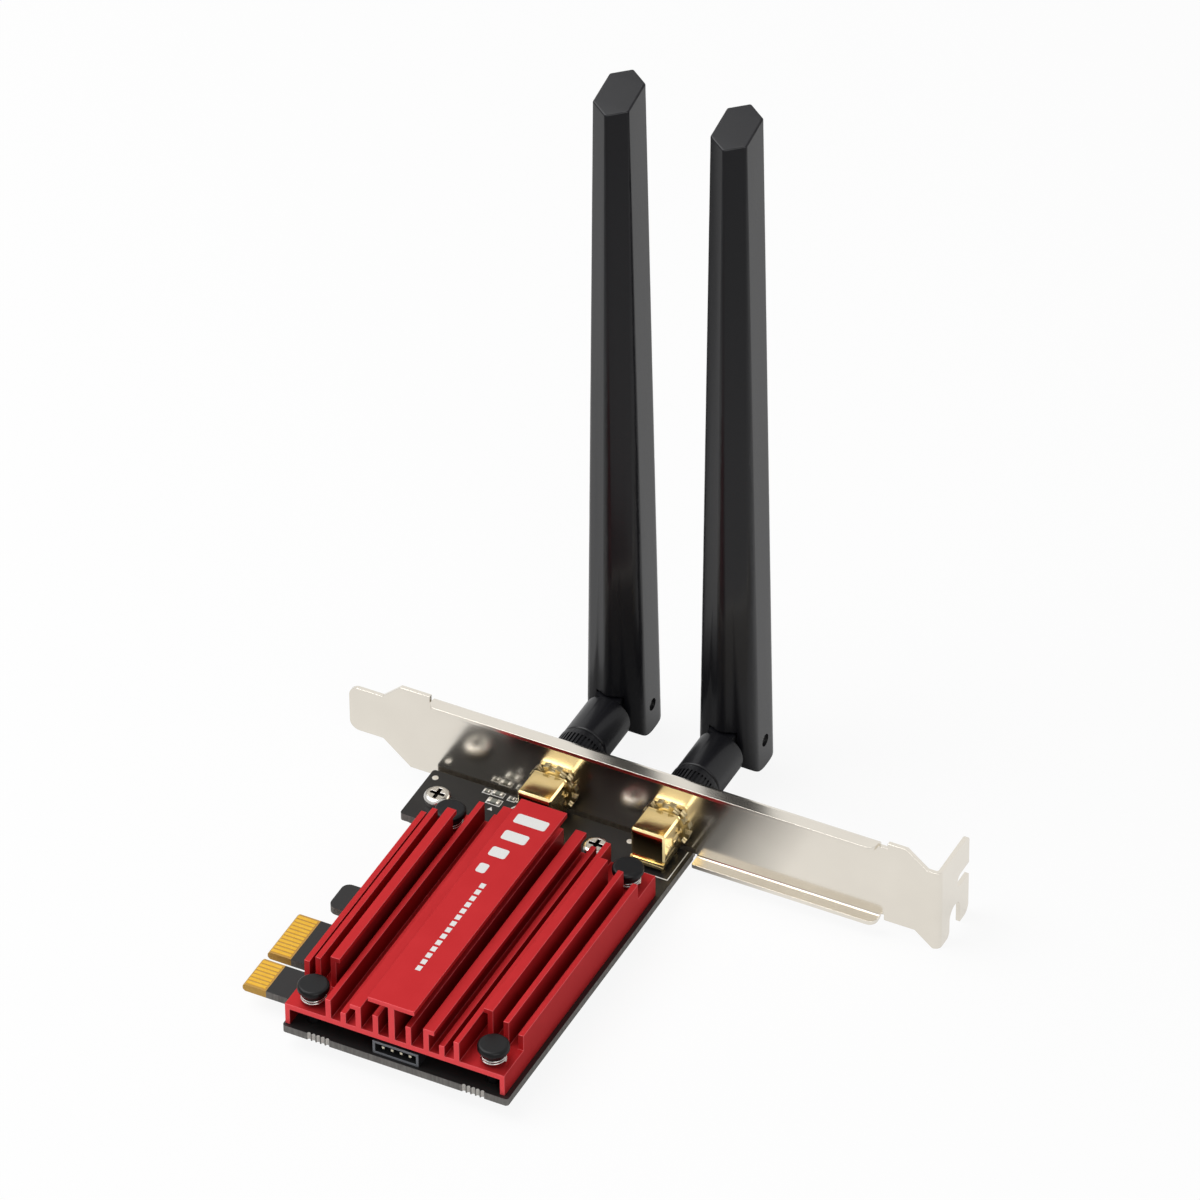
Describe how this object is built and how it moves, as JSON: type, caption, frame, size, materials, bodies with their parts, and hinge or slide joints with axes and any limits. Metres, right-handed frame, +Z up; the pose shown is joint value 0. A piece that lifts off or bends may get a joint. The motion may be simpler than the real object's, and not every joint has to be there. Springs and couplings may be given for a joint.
{
  "type": "wireless network card",
  "caption": "PCI Express wireless network card: finned red heatsink on a black circuit board, folded slot bracket, coaxial jacks and hinged blade aerials.",
  "frame": {"origin": "middle of the edge connector's key slot, at the contact tips, on the circuit board's mid-plane", "axes": "+X away from the edge connector along the bracket, +Y out through the bracket towards the aerials, +Z up off the board's component side"},
  "size_m": [0.12, 0.1103, 0.15],
  "materials": {
    "solder_mask": "black solder mask on glass-fibre board, satin",
    "contact_gold": "gold plate, bright",
    "bracket_nickel": "bright nickel-plated sheet steel",
    "screw_steel": "nickel-plated steel",
    "red_anodised": "red anodised, satin",
    "black_nylon": "black nylon",
    "spring_steel": "plain wire",
    "thermal_silicone": "soft grey silicone",
    "module_mask": "dark green solder mask",
    "tin_plate": "tinned sheet",
    "socket_plastic": "moulded black plastic",
    "standoff_brass": "turned brass",
    "header_plastic": "moulded dark plastic",
    "jack_gold": "gold-plated brass, polished",
    "white_insulator": "white fluoropolymer",
    "collar_black": "moulded black plastic, ridged",
    "aerial_black": "moulded black plastic, satin",
    "hinge_steel": "plain pin",
    "radiator_copper": "bare copper"
  },
  "bodies": {
    "card": {"circuit_board": "solder_mask", "edge_contacts_top": "contact_gold", "edge_contacts_bottom": "contact_gold", "bracket": "bracket_nickel", "bracket_screws": "screw_steel", "heatsink": "red_anodised", "push_pins": "black_nylon", "push_pin_springs": "spring_steel", "thermal_pad": "thermal_silicone", "radio_board": "module_mask", "radio_shield": "tin_plate", "radio_socket": "socket_plastic", "radio_standoff": "standoff_brass", "radio_screw": "screw_steel", "header_shroud": "header_plastic", "header_pins": "contact_gold", "left_jack": "jack_gold", "left_jack_insulator": "white_insulator", "left_jack_pin": "contact_gold", "left_lock_washer": "jack_gold", "left_jack_nut": "jack_gold", "right_jack": "jack_gold", "right_jack_insulator": "white_insulator", "right_jack_pin": "contact_gold", "right_lock_washer": "jack_gold", "right_jack_nut": "jack_gold"},
    "left_collar": {"left_antenna_collar": "collar_black"},
    "left_knuckle": {"left_antenna_base": "aerial_black", "left_antenna_contact": "white_insulator"},
    "left_blade": {"left_antenna_blade": "aerial_black", "left_hinge_pin": "hinge_steel", "left_radiator_strip": "radiator_copper"},
    "right_collar": {"right_antenna_collar": "collar_black"},
    "right_knuckle": {"right_antenna_base": "aerial_black", "right_antenna_contact": "white_insulator"},
    "right_blade": {"right_antenna_blade": "aerial_black", "right_hinge_pin": "hinge_steel", "right_radiator_strip": "radiator_copper"}
  },
  "joints": [
    {"name": "left_collar_spin", "type": "hinge", "parent": "card", "child": "left_collar", "pos_m": [0.0281, 0.0672, 0.0055], "axis": [0, 1, 0], "continuous": true},
    {"name": "left_aerial_swivel", "type": "hinge", "parent": "card", "child": "left_knuckle", "pos_m": [0.0281, 0.075, 0.0055], "axis": [0, 1, 0], "range_deg": [-180, 0]},
    {"name": "left_aerial_tilt", "type": "hinge", "parent": "left_knuckle", "child": "left_blade", "pos_m": [0.0281, 0.0883, 0.0055], "axis": [1, 0, 0], "range_deg": [-90, 0]},
    {"name": "right_collar_spin", "type": "hinge", "parent": "card", "child": "right_collar", "pos_m": [0.0512, 0.0672, 0.0055], "axis": [0, 1, 0], "continuous": true},
    {"name": "right_aerial_swivel", "type": "hinge", "parent": "card", "child": "right_knuckle", "pos_m": [0.0512, 0.075, 0.0055], "axis": [0, 1, 0], "range_deg": [0, 180]},
    {"name": "right_aerial_tilt", "type": "hinge", "parent": "right_knuckle", "child": "right_blade", "pos_m": [0.0512, 0.0883, 0.0055], "axis": [1, 0, 0], "range_deg": [-90, 0]}
  ]
}
